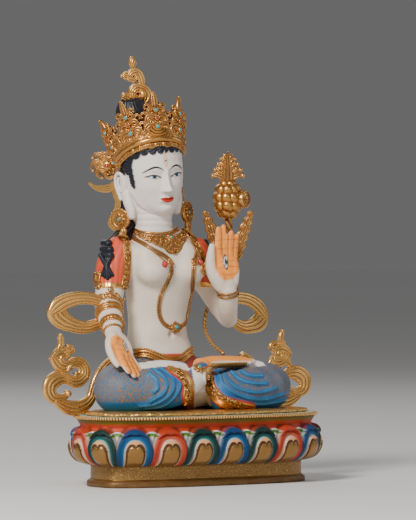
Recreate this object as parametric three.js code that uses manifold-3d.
// Seated Tara on a lotus throne, cast in copper, gilded and painted.
// Millimetres, +Z up. She faces -Y, and her own left hand is on the +X side.
// The origin is the middle of the throne's flat underside.

import * as THREE from 'three';
import Module from 'manifold-3d';
import { mergeVertices } from 'three/addons/utils/BufferGeometryUtils.js';

const wasm = await Module();
wasm.setup();

// Throne
const throneWidth = 213; // across the fullest part of the petals
const throneDepth = 123;
const widestLine = 18.4; // how far the widest line lies in front of the middle
const planSquareness = 2.4; // exponent of the rounded plan, 2 is an ellipse
const footHeight = 5.5;
const footInset = 13; // insets are measured in from the fullest part of the petals
const wallHeight = 11;
const wallInset = 16;
const petalCount = 19;
const petalHeight = 29;
const petalGroove = 4.5; // depth of the valley between two petals
const bandHeight = 7;
const bandInset = 8;
const rimHeight = 1.5;
const rimInset = 4;

// Figure
const figureHeight = 275; // from the seat to the tip of the topknot ornament
const clearance = 0.3; // left between two pieces that touch
const scrollThickness = 6.5;
const crownThickness = 3;
const ribbonThickness = 2.4;

// Worked out
const throneHeight = footHeight + wallHeight + petalHeight + bandHeight + rimHeight;
const partCount = 275; // the figure is proportioned in this many parts of its height
const unit = figureHeight / partCount;
const seat = throneHeight + clearance;
const throneEnd = throneWidth / 2 - rimInset; // from the middle to the rim's end

const X = new THREE.Vector3(1, 0, 0);
const Y = new THREE.Vector3(0, 1, 0);
const Z = new THREE.Vector3(0, 0, 1);

// A place on the figure, in its own parts, measured from the middle of the seat.
function place(x, y, z) {
  return new THREE.Vector3(x * unit, y * unit, seat + z * unit);
}

// Closed skins

// Signed volume of an indexed triangle mesh, to tell which way its faces point.
function signedVolume(positions, index) {
  const [a, b, c] = [new THREE.Vector3(), new THREE.Vector3(), new THREE.Vector3()];
  let volume = 0;
  for (let i = 0; i < index.length; i += 3) {
    a.fromArray(positions, index[i] * 3);
    b.fromArray(positions, index[i + 1] * 3);
    c.fromArray(positions, index[i + 2] * 3);
    volume += a.dot(b.cross(c)) / 6;
  }
  return volume;
}

// A closed skin over rings of equally many points, ending in a pole at each end.
function skin(rings, firstPole, lastPole) {
  const count = rings[0].length;
  const points = [...rings.flat(), firstPole, lastPole];
  const first = rings.length * count;
  const last = first + 1;
  const index = [];
  for (let i = 0; i < count; i += 1) {
    const next = (i + 1) % count;
    index.push(first, next, i);
    const base = (rings.length - 1) * count;
    index.push(last, base + i, base + next);
    for (let row = 0; row + 1 < rings.length; row += 1) {
      const low = row * count;
      const high = low + count;
      index.push(low + i, low + next, high + next, low + i, high + next, high + i);
    }
  }
  const positions = points.flatMap((point) => point.toArray());
  if (signedVolume(positions, index) < 0) index.reverse();
  const geometry = new THREE.BufferGeometry();
  geometry.setAttribute('position', new THREE.Float32BufferAttribute(positions, 3));
  geometry.setIndex(index);
  return geometry;
}

function toSolid(geometry) {
  const bare = geometry.clone();
  bare.deleteAttribute('normal');
  bare.deleteAttribute('uv');
  const merged = mergeVertices(bare, 1e-4);
  return new wasm.Manifold(new wasm.Mesh({
    numProp: 3,
    vertProperties: new Float32Array(merged.attributes.position.array),
    triVerts: new Uint32Array(merged.index.array),
  }));
}

function toGeometry(solid) {
  const { vertProperties, triVerts } = solid.getMesh();
  const geometry = new THREE.BufferGeometry();
  geometry.setAttribute('position', new THREE.Float32BufferAttribute(vertProperties, 3));
  geometry.setIndex([...triVerts]);
  return geometry;
}

function joined(solids) {
  return solids.reduce((whole, solid) => whole.add(solid));
}

// A smooth curve through rows of numbers, read at evenly spaced steps.
function smoothRows(rows, steps) {
  const at = (row, column) => {
    if (row < 0) return 2 * rows[0][column] - rows[1][column];
    const end = rows.length - 1;
    if (row > end) return 2 * rows[end][column] - rows[end - 1][column];
    return rows[row][column];
  };
  const smooth = [];
  for (let i = 0; i <= (rows.length - 1) * steps; i += 1) {
    const row = Math.min(Math.floor(i / steps), rows.length - 2);
    const t = i / steps - row;
    smooth.push(rows[0].map((_, column) => {
      const [a, b, c, d] = [-1, 0, 1, 2].map((shift) => at(row + shift, column));
      return b + 0.5 * t * (c - a + t * (2 * a - 5 * b + 4 * c - d + t * (3 * (b - c) + d - a)));
    }));
  }
  return smooth;
}

// A round or oval limb through stations [x, y, z, half width, half thickness].
// The half width lies along `side`, and both ends are rounded off with `caps` rings each.
function limb(stations, { sides = 10, steps = 1, side = X, grow = 0, blunt = 0.7, caps = 1 } = {}) {
  const full = stations.map((row) => (row.length > 4 ? row : [...row, row[3]]));
  const rows = smoothRows(full, steps);
  const centres = rows.map(([x, y, z]) => place(x, y, z));
  const tangents = centres.map((_, i) => {
    const before = centres[Math.max(i - 1, 0)];
    const after = centres[Math.min(i + 1, centres.length - 1)];
    return after.clone().sub(before).normalize();
  });
  const ring = (i, shift, share) => {
    const across = side.clone().addScaledVector(tangents[i], -side.dot(tangents[i])).normalize();
    const through = tangents[i].clone().cross(across);
    const half = [rows[i][3] * unit + grow, rows[i][4] * unit + grow];
    const middle = centres[i].clone().addScaledVector(tangents[i], shift);
    return Array.from({ length: sides }, (_, k) => {
      const turn = (2 * Math.PI * k) / sides;
      return middle.clone()
        .addScaledVector(across, half[0] * share * Math.cos(turn))
        .addScaledVector(through, half[1] * share * Math.sin(turn));
    });
  };
  const end = rows.length - 1;
  const capAngles = Array.from({ length: caps }, (_, k) => ((k + 1) * Math.PI) / (2 * caps + 1.6));
  const capLength = (i) => blunt * (Math.min(rows[i][3], rows[i][4]) * unit + grow);
  const opening = [...capAngles].reverse()
    .map((angle) => ring(0, -capLength(0) * Math.sin(angle), Math.cos(angle)));
  const closing = capAngles
    .map((angle) => ring(end, capLength(end) * Math.sin(angle), Math.cos(angle)));
  const body = rows.map((_, i) => ring(i, 0, 1));
  const firstPole = centres[0].clone().addScaledVector(tangents[0], -capLength(0));
  const lastPole = centres[end].clone().addScaledVector(tangents[end], capLength(end));
  return toSolid(skin([...opening, ...body, ...closing], firstPole, lastPole));
}

// An egg shape round a centre, with its three half sizes along X, Y and Z.
function egg([x, y, z], [a, b, c], { grow = 0, detail = 10 } = {}) {
  const geometry = new THREE.SphereGeometry(1, detail, Math.round(detail * 0.7));
  geometry.scale(a * unit + grow, b * unit + grow, c * unit + grow);
  const centre = place(x, y, z);
  geometry.translate(centre.x, centre.y, centre.z);
  return toSolid(geometry);
}

// Throne

// The plan is a rounded egg: one half width, but less depth in front than behind.
const planTable = (() => {
  const halfWidth = throneWidth / 2;
  const frontDepth = throneDepth / 2 - widestLine;
  const backDepth = throneDepth / 2 + widestLine;
  const rows = [];
  const samples = 1440;
  let length = 0;
  for (let i = 0; i <= samples; i += 1) {
    const angle = -Math.PI / 2 + (2 * Math.PI * i) / samples;
    const [c, s] = [Math.cos(angle), Math.sin(angle)];
    const depth = s < 0 ? frontDepth : backDepth;
    const x = halfWidth * Math.sign(c) * Math.abs(c) ** (2 / planSquareness);
    const y = depth * Math.sign(s) * Math.abs(s) ** (2 / planSquareness);
    const slope = planSquareness - 1;
    const normal = new THREE.Vector2(
      (Math.sign(x) * Math.abs(x / halfWidth) ** slope) / halfWidth,
      (Math.sign(y) * Math.abs(y / depth) ** slope) / depth,
    ).normalize();
    const point = new THREE.Vector2(x, y - widestLine);
    if (rows.length) length += point.distanceTo(rows[rows.length - 1].point);
    rows.push({ point, normal, length });
  }
  return rows;
})();

// The plan's point and outward direction at a share of its way round, from the front middle.
function planAt(share) {
  const total = planTable[planTable.length - 1].length;
  const wanted = (((share % 1) + 1) % 1) * total;
  const i = Math.max(1, planTable.findIndex((row) => row.length >= wanted));
  const [low, high] = [planTable[i - 1], planTable[i]];
  const t = (wanted - low.length) / Math.max(high.length - low.length, 1e-9);
  return {
    point: low.point.clone().lerp(high.point, t),
    normal: low.normal.clone().lerp(high.normal, t).normalize(),
  };
}

function planRing(inset, z, columns) {
  return columns.map((share) => {
    const { point, normal } = planAt(share);
    return new THREE.Vector3(point.x - normal.x * inset(share), point.y - normal.y * inset(share), z);
  });
}

function throne() {
  const acrossPetal = [-0.5, -0.24, 0.24];
  const columns = [];
  for (let petal = 0; petal < petalCount; petal += 1) {
    acrossPetal.forEach((across) => columns.push((petal + across) / petalCount));
  }
  const distance = (share) => {
    const turns = share * petalCount;
    return 2 * Math.abs(turns - Math.round(turns)); // 0 in a petal's middle, 1 in a valley
  };
  const plain = (inset) => () => inset;
  const petalFoot = footHeight + wallHeight;
  const petalRow = (up) => {
    const bow = 1 - Math.abs((up - 0.56) / 0.56) ** 2.4;
    const bulge = (wallInset - 2) * (1 - Math.max(bow, 0) ** 0.6);
    const lean = up > 0.56 ? (bandInset * 0.55) * ((up - 0.56) / 0.44) ** 2 : bulge;
    const spread = up > 0.7 ? Math.sqrt(Math.max(1 - ((up - 0.7) / 0.36) ** 2, 0.05)) : 1;
    return (share) => lean + petalGroove * Math.min((distance(share) / spread) ** 4, 1);
  };
  const petalRows = [0.04, 0.24, 0.56, 0.84, 1];
  const bandFoot = petalFoot + petalHeight;
  const rings = [
    planRing(plain(footInset), 0, columns),
    planRing(plain(footInset), footHeight, columns),
    planRing(plain(wallInset), footHeight + 0.5, columns),
    planRing(plain(wallInset), petalFoot, columns),
    ...petalRows.map((up) => planRing(petalRow(up), petalFoot + up * petalHeight, columns)),
    planRing(plain(bandInset + 1), bandFoot + 0.6, columns),
    planRing(plain(rimInset), bandFoot + bandHeight, columns),
    planRing(plain(rimInset), throneHeight, columns),
  ];
  const geometry = skin(
    rings,
    new THREE.Vector3(0, 0, 0),
    new THREE.Vector3(0, 0, throneHeight),
  );
  return toSolid(geometry);
}

// Figure

const headTurn = THREE.MathUtils.degToRad(20); // towards her right
const headTip = THREE.MathUtils.degToRad(6); // the crown of the head leans to her right
const headCentre = new THREE.Vector3(-10, 36, 190);
const headFrame = new THREE.Matrix4().makeRotationZ(-headTurn)
  .multiply(new THREE.Matrix4().makeRotationY(-headTip));
const headSide = X.clone().applyMatrix4(headFrame);

// A place on the head: x to her left, y to the back, z up from its centre.
function onHead(x, y, z) {
  return new THREE.Vector3(x, y, z).applyMatrix4(headFrame).add(headCentre).toArray();
}

function head(grow) {
  const station = (y, z, ...half) => [...onHead(0, y, z), ...half];
  const turned = { side: headSide, grow };
  const skull = limb([
    station(-13, -30, 9, 8),
    station(-8, -24, 16, 15),
    station(-4, -15, 20.5, 21),
    station(-2, -4, 23, 24.5),
    station(1, 17, 22, 24),
  ], { ...turned, sides: 10, blunt: 0.4 });
  const hair = limb([
    station(14, -26, 14, 10),
    station(10, -12, 23, 18),
    station(6, 4, 25, 24),
    station(3, 16, 24, 25.5),
    station(3, 25, 16, 18),
  ], { ...turned, sides: 10, blunt: 0.3 });
  const bun = limb([
    [...onHead(-3, 12, 20), 17, 15.5],
    [...onHead(-4, 15, 34), 16.5, 16],
    [...onHead(-4, 17, 43), 12.5, 12.5],
  ], { ...turned, sides: 10, blunt: 0.6 });
  const nose = limb([
    station(-25, 0, 1.6),
    station(-28, -9, 2.6),
    station(-24.5, -12, 2.2),
  ], { ...turned, sides: 6, caps: 0, blunt: 0 });
  const ears = [-1, 1].map((hand) => limb([
    [...onHead(hand * 24.5, 9, 0), 2, 6.5],
    [...onHead(hand * 25, 9, -12), 2, 5.5],
    [...onHead(hand * 25, 7, -27), 2, 3.6],
  ], { ...turned, sides: 6 }));
  return [skull, hair, bun, nose, ...ears];
}

function trunk(grow) {
  const body = limb([
    [-3, 33, 8, 38, 29],
    [-3, 33, 21, 37, 28],
    [-4, 34.5, 43, 30, 22.5],
    [-5, 35, 58, 26, 18.5],
    [-5, 35, 70, 25, 18],
    [-5, 34.5, 86, 27, 19],
    [-4, 34, 102, 31.5, 20],
    [-4, 34.5, 117, 35, 20],
    [-4, 36, 127, 36, 17],
    [-5, 37, 134, 27, 14.5],
    [-6.5, 37, 141, 15.5, 14],
    [-8, 36, 160, 14.5, 14],
  ], { grow, blunt: 0.2, caps: 0 });
  const breasts = [-1, 1].map((hand) => (
    egg([-4.5 + hand * 17, 17, 111], [14.5, 12.5, 14.5], { grow, detail: 8 })
  ));
  const backHair = limb([
    [-9, 52, 168, 17, 9],
    [-6, 53, 143, 22, 8],
    [-4, 52, 120, 27, 7.5],
    [-4, 52, 90, 18, 6],
  ], { sides: 6, grow });
  return [body, ...breasts, backHair];
}

function legs(grow) {
  const right = limb([
    [-16, 34, 22, 21.5],
    [-46, 14, 21, 20.5],
    [-67, 0, 20, 19.5],
    [-72, -7, 19, 18],
    [-61, -16, 19, 17],
    [-45, -23, 20, 16.5],
    [-31, -26, 21, 14.5],
  ], { side: Z, grow });
  const left = limb([
    [8, 34, 22, 21.5],
    [38, 16, 21, 20.5],
    [64, -1, 20, 19.5],
    [69, -9, 19, 18],
    [58, -20, 18.5, 17],
    [34, -26, 18, 16],
    [8, -27, 16, 14],
  ], { side: Z, grow });
  const lap = egg([-3, 6, 18], [46, 30, 16.5], { grow, detail: 8 });
  const ankle = limb([[-24, -30, 22, 9], [-11, -26, 30, 8], [0, -17, 36, 7]], { sides: 6, grow });
  const rightFoot = limb([
    [-2, -16, 37, 6.5, 6],
    [14, -14, 39, 8.5, 5],
    [34, -12, 39, 10, 4.6],
    [50, -11, 38.5, 8, 3.6],
  ], { sides: 8, side: Y, grow });
  const leftFoot = limb([
    [-20, -17, 34, 7, 6],
    [-36, -14, 37, 9, 4.6],
    [-54, -11, 36.5, 7, 3.6],
  ], { sides: 8, side: Y, grow });
  return [right, left, lap, ankle, rightFoot, leftFoot];
}

function arms(grow) {
  const right = limb([
    [-36, 39, 125, 13],
    [-43, 38.5, 114, 13.5],
    [-49, 36, 99, 11.5],
    [-54, 32, 85, 10.8],
    [-58, 25, 76, 10],
    [-62, 16, 69, 8.6],
    [-67, 8, 62.5, 6.6],
  ], { sides: 8, grow });
  const left = limb([
    [29, 37, 125, 13],
    [35, 36.5, 114, 13.5],
    [45, 33, 98, 11.5],
    [53, 28, 81, 9.8],
    [54, 21, 71, 6.8],
    [47, 13, 80, 7.8],
    [43, 7, 89, 7.6],
    [41, 5, 95, 6.8],
  ], { sides: 8, grow });
  const locks = [-1, 1].map((hand) => limb([
    [-5 + hand * 24, 46, 136, 6, 5],
    [-5 + hand * 41, 40, 130, 6.5, 5],
    [-5 + hand * 49, 34, 118, 6.5, 5],
    [-5 + hand * 51, 30, 106, 6, 4],
  ], { sides: 6, side: Y, grow }));
  return [right, left, ...locks];
}

// A hand from its wrist: `along` runs to the fingertips, and `palm` is the way the palm faces.
// `thumbSide` is 1 where the thumb lies along `along` x `palm`, and `curls` bends each finger.
function hand({ wrist, along, palm, thumbSide, size, curls, thumb }, grow) {
  const forward = new THREE.Vector3(...along).normalize();
  const facing = new THREE.Vector3(...palm);
  facing.addScaledVector(forward, -facing.dot(forward)).normalize();
  const across = forward.clone().cross(facing).multiplyScalar(thumbSide * size);
  [forward, facing].forEach((axis) => axis.multiplyScalar(size));
  const spot = (w, a, n) => [
    wrist[0] + across.x * w + forward.x * a + facing.x * n,
    wrist[1] + across.y * w + forward.y * a + facing.y * n,
    wrist[2] + across.z * w + forward.z * a + facing.z * n,
  ];
  const flesh = limb([
    [...spot(0, -2, 0), 6.8, 6],
    [...spot(0.4, 6, 0), 8.6, 6],
    [...spot(0.4, 15, -0.4), 9.8, 5],
    [...spot(-0.2, 25, -0.8), 9, 3.4],
  ], { sides: 8, side: across, grow });
  const fingerLengths = [20, 23, 21, 16];
  const fingers = fingerLengths.map((length, i) => {
    const w = 6.6 - i * 4.4;
    const joints = [[w * 0.95, 22, -0.8]];
    let angle = 0;
    [0.42, 0.32, 0.26].forEach((share) => {
      angle += curls[i];
      const [, a, n] = joints[joints.length - 1];
      const step = length * share;
      joints.push([w, a + step * Math.cos(angle), n + step * Math.sin(angle)]);
    });
    const girth = [2.8, 2.6, 2.3, 1.8];
    const stations = joints.map((joint, k) => [...spot(...joint), girth[k]]);
    return limb(stations, { sides: 5, side: across, grow, caps: 0 });
  });
  const thumbLimb = limb(
    thumb.map(([w, a, n, girth]) => [...spot(w, a, n), girth]),
    { sides: 6, side: forward, grow },
  );
  return [flesh, ...fingers, thumbLimb];
}

const givingHand = {
  wrist: [-67.4, 7, 61.8],
  along: [-4, -38, -35],
  palm: [0.27, -0.67, 0.69],
  thumbSide: 1,
  size: 1.08,
  curls: [0.02, 0.02, 0.03, 0.05],
  thumb: [[5, 5, 0, 3.8], [9.5, 12, -1, 3.6], [11.5, 20, -2.5, 3.2], [11.5, 28, -3, 2.6], [11, 33, -3, 2]],
};

const raisedHand = {
  wrist: [41, 5, 95.5],
  along: [-3, -1, 50],
  palm: [-0.2, -0.97, 0.05],
  thumbSide: -1,
  size: 1.1,
  curls: [0.05, 0.05, 0.3, 0.34],
  thumb: [
    [5, 2, -1, 5.5], [10.5, 10, -1, 5.2], [13, 19, -0.5, 4.4], [12.8, 27, 0.5, 3.4], [12.3, 32, 1, 2.6],
  ],
};

// The cloth spread on the seat under the legs.
function seatCloth(grow) {
  const count = 24;
  const columns = Array.from({ length: count }, (_, k) => k / count);
  const ring = (inset, z) => planRing(() => inset - grow, z, columns);
  const thick = 3.5 * unit;
  const inset = rimInset + 7;
  return toSolid(skin(
    [ring(inset, seat - grow), ring(inset, seat + 0.6 * thick), ring(inset + 6, seat + thick + grow)],
    place(0, 0, 0).setZ(seat - grow),
    place(0, 0, 0).setZ(seat + thick + grow),
  ));
}

function figure(grow) {
  return joined([
    ...trunk(grow),
    ...head(grow),
    ...arms(grow),
    ...hand(givingHand, grow),
    ...hand(raisedHand, grow),
    ...legs(grow),
    seatCloth(grow),
  ]);
}

// Flat ornaments

// A flat strap along a path in its own plane, rounded at both ends and `thick` through.
// The rows are [along, up, half width]; `lay` puts a point of the plane into the room.
function strap(rows, thick, lay) {
  const side = (i) => {
    const before = rows[Math.max(i - 1, 0)];
    const after = rows[Math.min(i + 1, rows.length - 1)];
    const [dx, dz] = [after[0] - before[0], after[1] - before[1]];
    const length = Math.hypot(dx, dz);
    return [-dz / length, dx / length, dx / length, dz / length];
  };
  const ring = (i, shift, share) => {
    const [nx, nz, tx, tz] = side(i);
    const [x, z, half] = rows[i];
    const wide = half * share;
    const deep = (thick / 2) * (share < 1 ? 0.7 : 1);
    return [[1, 0], [0.5, deep], [-0.5, deep], [-1, 0], [-0.5, -deep], [0.5, -deep]]
      .map(([w, n]) => lay(x + tx * shift + nx * wide * w, z + tz * shift + nz * wide * w, n));
  };
  const end = rows.length - 1;
  const rings = [
    ring(0, -rows[0][2] * 0.6, 0.6),
    ...rows.map((_, i) => ring(i, 0, 1)),
    ring(end, rows[end][2] * 0.6, 0.6),
  ];
  const pole = (i, sign) => {
    const [, , tx, tz] = side(i);
    return lay(rows[i][0] + sign * tx * rows[i][2] * 0.85, rows[i][1] + sign * tz * rows[i][2] * 0.85, 0);
  };
  return toSolid(skin(rings, pole(0, -1), pole(end, 1)));
}

// The scarf end that stands in curls on the throne's end; hand is -1 on her right.
// The left one stands further out, but its curled top further in. On a narrower throne
// both stand further back, where the thighs leave room.
function sideScroll(hand) {
  const usualEnd = 102.5; // the rim's end on a throne that is as wide as the figure needs
  const rimAt = usualEnd - (hand > 0 ? 4 : 0);
  const back = 16 + 0.67 * (usualEnd - throneEnd / unit);
  const lay = (x, z, n) => place(0, back, z)
    .add(new THREE.Vector3(hand * (throneEnd + (x - rimAt) * unit), n, 0));
  const inward = hand > 0 ? 13 : 0;
  const lower = strap([
    [84, 7.5, 6.5], [99, 7.5, 5.5], [112, 13, 5.5], [121.5, 20, 7.5], [119, 28, 6.5], [110, 30.5, 5],
    [101, 27.5, 4.5],
  ], scrollThickness, lay);
  const ring = strap([
    [101, 27.5, 4.5], [94, 26, 4.6], [87, 31.5, 4.6], [89.5, 39, 4.6], [97.5, 42, 4.6], [105, 38, 4.2],
  ], scrollThickness, lay);
  const stem = strap([
    [86, 5, 6], [83.5, 18, 4.5], [78, 28, 4.5], [70.5, 36, 4.5], [62, 42.5, 4],
  ], scrollThickness * 0.8, lay);
  const crest = strap([
    [103 - inward, 39, 6.5], [110 - inward, 42, 8.8], [111 - inward, 49, 8], [109 - inward, 56, 3.8],
    [111 - inward, 62, 2.2],
  ], scrollThickness, lay);
  return joined([lower, ring, stem, crest]);
}

// The scarf loop at an elbow, which swings a little to the back.
function scarfLoop(hand) {
  const back = Math.tan(THREE.MathUtils.degToRad(12.5));
  const droop = hand > 0 ? 0.16 : 0;
  const lay = (x, z, n) => place(hand * x, 30 + back * (x - 66), z - droop * (x - 66))
    .add(new THREE.Vector3(0, n, 0));
  return strap([
    [60, 84, 3.6], [70, 88.5, 4], [82, 90, 4], [95, 87, 4.2], [102, 82.5, 4.6], [104, 76.5, 4.6],
    [99, 71, 4.6], [89, 66.5, 4.4], [78, 64.5, 4], [66, 68, 3.8], [59, 74, 3],
  ], ribbonThickness * 2, lay);
}

// Crown

const bandHalfWidth = 25.5; // the crown's band follows the head
const bandHalfDepth = 29.5;
const crownTilt = THREE.MathUtils.degToRad(26); // the band stands higher in front
const leafFlare = 0.3;
const crownTurn = 0.04; // radians that the crown is set round to her left

// A place on the crown: `turn` from the front towards her left, `out` from the band, `up` above it.
function onCrown(turn, out, up) {
  const reach = 1 + (out / unit + leafFlare * up) / bandHalfDepth;
  const forward = Math.cos(turn + crownTurn) * bandHalfDepth * reach;
  return place(...onHead(
    Math.sin(turn + crownTurn) * bandHalfWidth * reach,
    2 - forward * Math.cos(crownTilt) + up * Math.sin(crownTilt),
    7.5 + forward * Math.sin(crownTilt) + up * Math.cos(crownTilt),
  ));
}

function crown() {
  const spread = THREE.MathUtils.degToRad(140);
  const half = crownThickness / 2;
  const bandSteps = 14;
  const bandRings = Array.from({ length: bandSteps + 1 }, (_, i) => {
    const turn = -spread + (2 * spread * i) / bandSteps;
    return [[0, -3.5], [half * 1.4, 0], [0, 3.5], [-half, 0]].map(([out, up]) => onCrown(turn, out, up));
  });
  const band = toSolid(skin(bandRings, onCrown(-spread, 0, 0), onCrown(spread, 0, 0)));
  const profile = [[0, 0.8], [0.26, 1], [0.5, 0.94], [0.74, 0.36]];
  const leaf = (degrees, height, halfWidth) => {
    const turn = THREE.MathUtils.degToRad(degrees);
    const rings = profile.map(([share, wide]) => {
      const swing = (halfWidth * wide) / bandHalfDepth;
      return [[-1, 0], [0, half * 1.2], [1, 0], [0, -half]]
        .map(([w, out]) => onCrown(turn + w * swing, out, share * height));
    });
    return toSolid(skin(rings, onCrown(turn, 0, -1), onCrown(turn, 0, height)));
  };
  const leaves = [leaf(0, 36, 12)];
  [[42, 35, 11.5], [83, 33, 11.5]].forEach(([degrees, ...sizes]) => {
    leaves.push(leaf(degrees, ...sizes), leaf(-degrees, ...sizes));
  });
  // A fan of leaves behind each ear; the left one is swept further back.
  const fan = (middle, tip) => limb([
    [...onHead(...middle.map((v, i) => v + 0.9 * (v - tip[i]))), 6, 3.5],
    [...onHead(...middle), 12, 3.5],
    [...onHead(...tip), 12.5, 3],
  ], { sides: 6, side: Z });
  const fans = [fan([-30, 18, 4], [-36, 21, 5]), fan([26, 22, 4], [28.5, 29, 5])];
  return joined([band, ...leaves, ...fans]);
}

function topknotFinial() {
  const lay = (x, z, n) => place(...onHead(x - 2.5, 14, z)).add(new THREE.Vector3(0, n, 0));
  const foot = limb([[...onHead(-3, 14, 43), 9], [...onHead(-3, 14, 49), 5]], { sides: 6, side: headSide });
  const ring = strap([
    [-8.5, 58, 2], [-3, 52, 3.4], [5.5, 49, 4], [9, 56, 4], [3, 62, 4], [-3.5, 59.5, 3.2], [2, 55.5, 3.5],
  ], 9, lay);
  const curl = strap([[4, 63, 2.6], [5, 72, 2.6], [0.5, 77, 2.6], [-4, 73, 2.4], [-1, 70, 2.2]], 6.5, lay);
  const bud = limb([
    [...onHead(-2.4, 14, 77.5), 2], [...onHead(-2.6, 14, 82), 3.3], [...onHead(-2.8, 14, 86.4), 1.8],
  ], { sides: 6, side: headSide });
  return joined([foot, ring, curl, bud]);
}

function earring(hand) {
  const at = (x, y, z) => onHead(hand * x, y, z);
  const disc = limb([[...at(26, 8, -38), 8.8, 8.8], [...at(29, 5.5, -38), 7.8, 7.8]], {
    sides: 8, side: Z, caps: 0, blunt: 0.12,
  });
  const drop = limb([
    [...at(26, 7, -46), 4.5, 3], [...at(26, 5, -52), 5, 3], [...at(25, 2, -58), 1.6, 1.6],
  ], { sides: 6, side: Y });
  return joined([disc, drop]);
}

function crownRibbon(hand) {
  const splay = hand > 0 ? 0.1 : 0.5; // the left one is swept further back
  const lay = (x, z, n) => place(...onHead(hand * (27 + splay * x), 13 + 0.8 * x, z))
    .add(new THREE.Vector3(0, n, 0));
  const strand = strap([
    [3, -11, 3.2], [1, -18, 3.2], [-1, -25, 3.4], [4, -35, 3.6], [10, -40, 3.4], [6, -45, 2.2],
  ], ribbonThickness, lay);
  const flick = strap([[3, -12, 3.2], [13, -13, 3.2], [22, -12, 2], [29, -8, 1]], ribbonThickness, lay);
  return joined([strand, flick]);
}

function lotus() {
  const ball = egg([51, 18, 165], [11.8, 11.5, 16.5], { detail: 8 });
  const button = limb([[57, 12, 165, 7], [62.5, 8, 165, 7]], { sides: 8, side: Z, caps: 0, blunt: 0.2 });
  const spray = limb([
    [51, 18, 180, 5, 4],
    [51, 18, 184.5, 13, 4],
    [51, 18, 193, 8, 3.6],
    [51, 18, 204, 1.4, 1.4],
  ], { sides: 6 });
  const stalk = limb([
    [51, 18, 152, 3.5],
    [53, 18, 138, 3],
    [57, 19, 112, 2.6],
    [62, 22, 90, 2.4],
  ], { sides: 5 });
  const leaves = [-1, 1].map((hand) => limb([
    [53 + hand * 2, 18, 122, 3, 1.8],
    [51 + hand * 10, 18, 138, 5, 2.2],
    [51 + hand * 17, 18, 152, 2.4, 1.6],
  ], { sides: 6 }));
  return joined([ball, button, spray, stalk, ...leaves]);
}

function lapStem() {
  return limb([
    [47, 38, 84, 1.8], [40, 34, 66, 1.5], [35, 18, 53, 1.5], [33, 0, 45, 1.8],
  ], { sides: 5, steps: 2 });
}

// Assembly

const gold = new THREE.MeshStandardMaterial({ color: 0xb9853c, roughness: 0.38, metalness: 1 });
const agedGold = new THREE.MeshStandardMaterial({ color: 0x8a6a3c, roughness: 0.5, metalness: 0.9 });
const whitePaint = new THREE.MeshStandardMaterial({ color: 0xe9e6df, roughness: 0.55, metalness: 0 });

const part = new THREE.Group();

function addPiece(name, solid, material) {
  const mesh = new THREE.Mesh(toGeometry(solid), material);
  mesh.name = name;
  part.add(mesh);
}

const body = figure(0);
const room = figure(clearance);

addPiece('lotus_throne', throne(), agedGold);
addPiece('figure_body', body, whitePaint);
addPiece('crown', crown().subtract(room), gold);
addPiece('topknot_finial', topknotFinial().subtract(room), gold);
addPiece('lotus_flower', lotus().subtract(room), gold);
addPiece('lap_stem', lapStem().subtract(room), gold);
[['right', -1], ['left', 1]].forEach(([name, hand]) => {
  addPiece(`earring_${name}`, earring(hand).subtract(room), gold);
  addPiece(`crown_ribbon_${name}`, crownRibbon(hand).subtract(room), gold);
  addPiece(`elbow_scarf_${name}`, scarfLoop(hand).subtract(room), gold);
  addPiece(`side_scroll_${name}`, sideScroll(hand).subtract(room), gold);
});

export default part;
